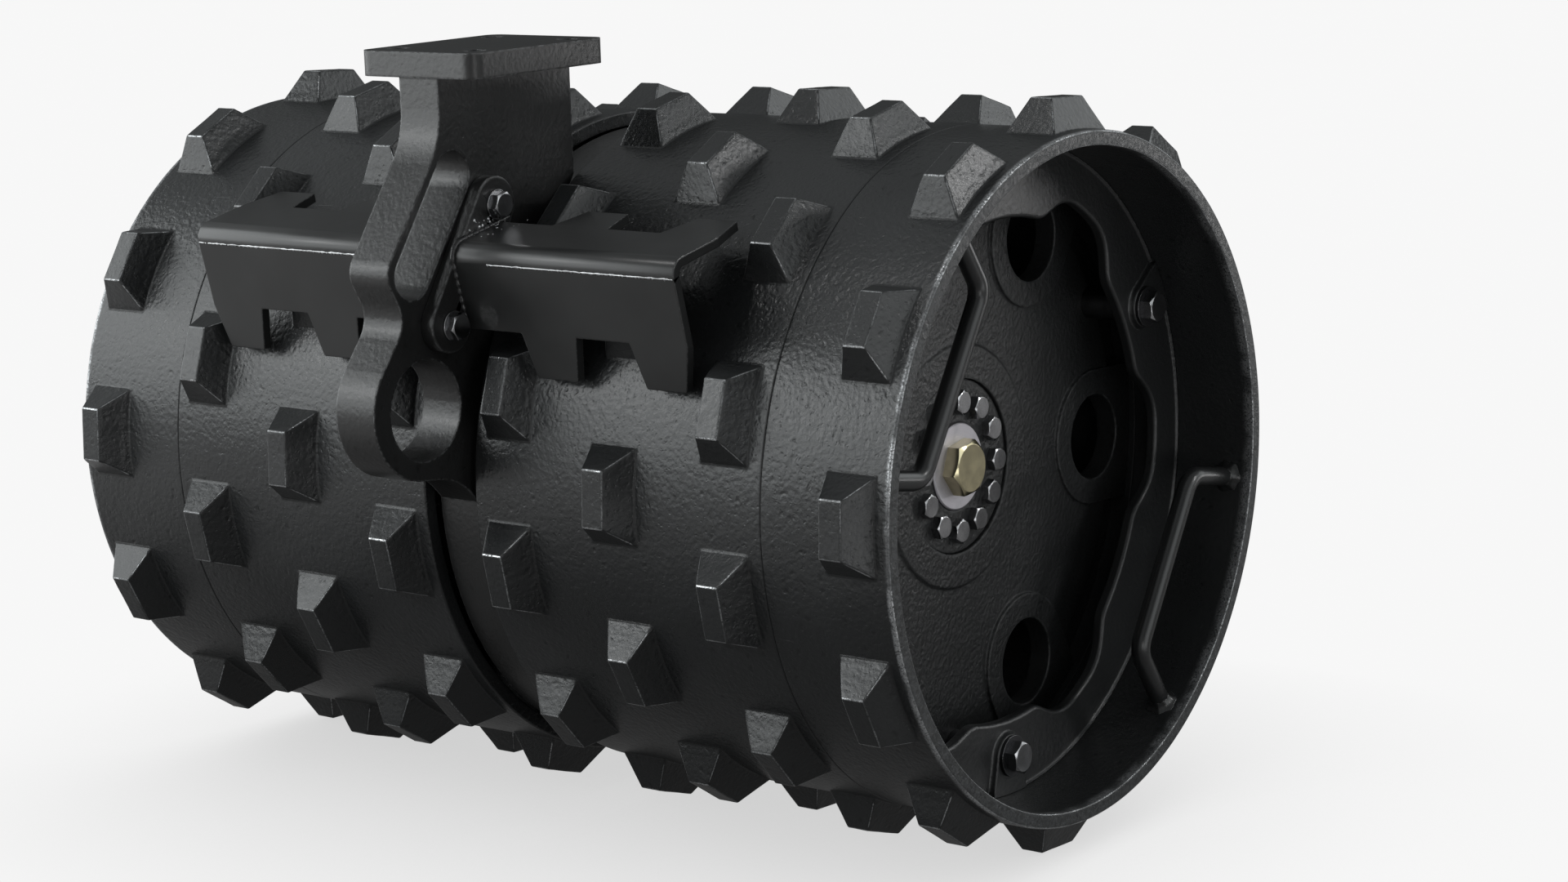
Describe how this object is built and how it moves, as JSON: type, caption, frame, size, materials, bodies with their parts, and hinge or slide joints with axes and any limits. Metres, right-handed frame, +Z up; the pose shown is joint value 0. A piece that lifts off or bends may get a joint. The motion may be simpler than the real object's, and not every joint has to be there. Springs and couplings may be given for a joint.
{
  "type": "padfoot drum roller",
  "caption": "Twin padfoot steel drum with bolt-on width extensions, hung from a central carrier with towing eye, drive, exciter and comb scrapers, for a trench compactor.",
  "frame": {"origin": "centre of the mounting head's top face; the drum axis runs 210 mm behind it (+Y) and 350 mm below it", "axes": "+X along the drum axis to the right-hand drum half, -Y to the front where the towing eye is, +Z up"},
  "size_m": [0.85, 0.6783, 0.6508],
  "materials": {
    "cast_black": "black paint over cast skin, worn on edges",
    "cast_grey": "machined casting",
    "sheet_black": "satin black paint",
    "zinc_bolt": "bright zinc",
    "dark_zinc": "dark phosphate",
    "gold_zinc": "yellow zinc",
    "machined_steel": "turned",
    "bearing_steel": "ground",
    "seal_rubber": "matt",
    "motor_paint": "satin"
  },
  "bodies": {
    "root": {"carrier_casting": "cast_black", "gearcase_cover": "cast_grey", "gearcase_cover_bolts": "zinc_bolt", "right_bearing_outer_ring": "bearing_steel", "left_bearing_outer_ring": "bearing_steel", "right_bearing_cover": "cast_grey", "left_bearing_cover": "cast_grey", "right_bearing_cover_bolts": "zinc_bolt", "left_bearing_cover_bolts": "zinc_bolt", "right_shaft_seal": "seal_rubber", "left_shaft_seal": "seal_rubber", "drive_motor": "motor_paint", "drive_motor_bolts": "zinc_bolt", "pinion_bearing": "bearing_steel", "right_exciter_housing": "cast_grey", "left_exciter_housing": "cast_grey", "exciter_housing_bolts": "zinc_bolt", "exciter_bearings": "bearing_steel", "exciter_motor": "motor_paint", "exciter_motor_bolts": "zinc_bolt", "right_scraper_bracket": "cast_black", "left_scraper_bracket": "cast_black", "right_scraper_blade": "sheet_black", "left_scraper_blade": "sheet_black", "scraper_bolts": "zinc_bolt", "scraper_washers": "zinc_bolt"},
    "drum": {"main_axle": "bearing_steel", "axle_gear": "bearing_steel", "gear_key": "bearing_steel", "right_bearing_inner_ring": "bearing_steel", "left_bearing_inner_ring": "bearing_steel", "right_bearing_rollers": "bearing_steel", "left_bearing_rollers": "bearing_steel", "right_drum_shell": "cast_black", "left_drum_shell": "cast_black", "right_drum_web": "cast_black", "left_drum_web": "cast_black", "right_drive_hub": "cast_black", "left_drive_hub": "cast_black", "right_hub_bolts": "zinc_bolt", "left_hub_bolts": "zinc_bolt", "right_axle_disc": "machined_steel", "left_axle_disc": "machined_steel", "right_axle_bolt": "gold_zinc", "left_axle_bolt": "gold_zinc", "right_extension_ring": "cast_black", "left_extension_ring": "cast_black", "right_extension_flange": "cast_black", "left_extension_flange": "cast_black", "right_extension_bolts": "zinc_bolt", "left_extension_bolts": "zinc_bolt", "extension_washers": "dark_zinc", "extension_sleeves": "dark_zinc", "right_handles": "sheet_black", "left_handles": "sheet_black"},
    "pinion": {"drive_pinion": "bearing_steel"},
    "exciter": {"exciter_shaft": "bearing_steel", "exciter_weights": "cast_grey"}
  },
  "joints": [
    {"name": "drum_spin", "type": "hinge", "parent": "root", "child": "drum", "pos_m": [0, 0.21, -0.35], "axis": [1, 0, 0], "continuous": true},
    {"name": "pinion_spin", "type": "hinge", "parent": "root", "child": "pinion", "pos_m": [0, 0.21, -0.21785], "axis": [1, 0, 0], "continuous": true},
    {"name": "exciter_spin", "type": "hinge", "parent": "root", "child": "exciter", "pos_m": [0, 0.21, -0.5295], "axis": [1, 0, 0], "continuous": true}
  ],
  "couplings": [
    {"joint": "pinion_spin", "follows": "drum_spin", "ratio": -3.125}
  ]
}
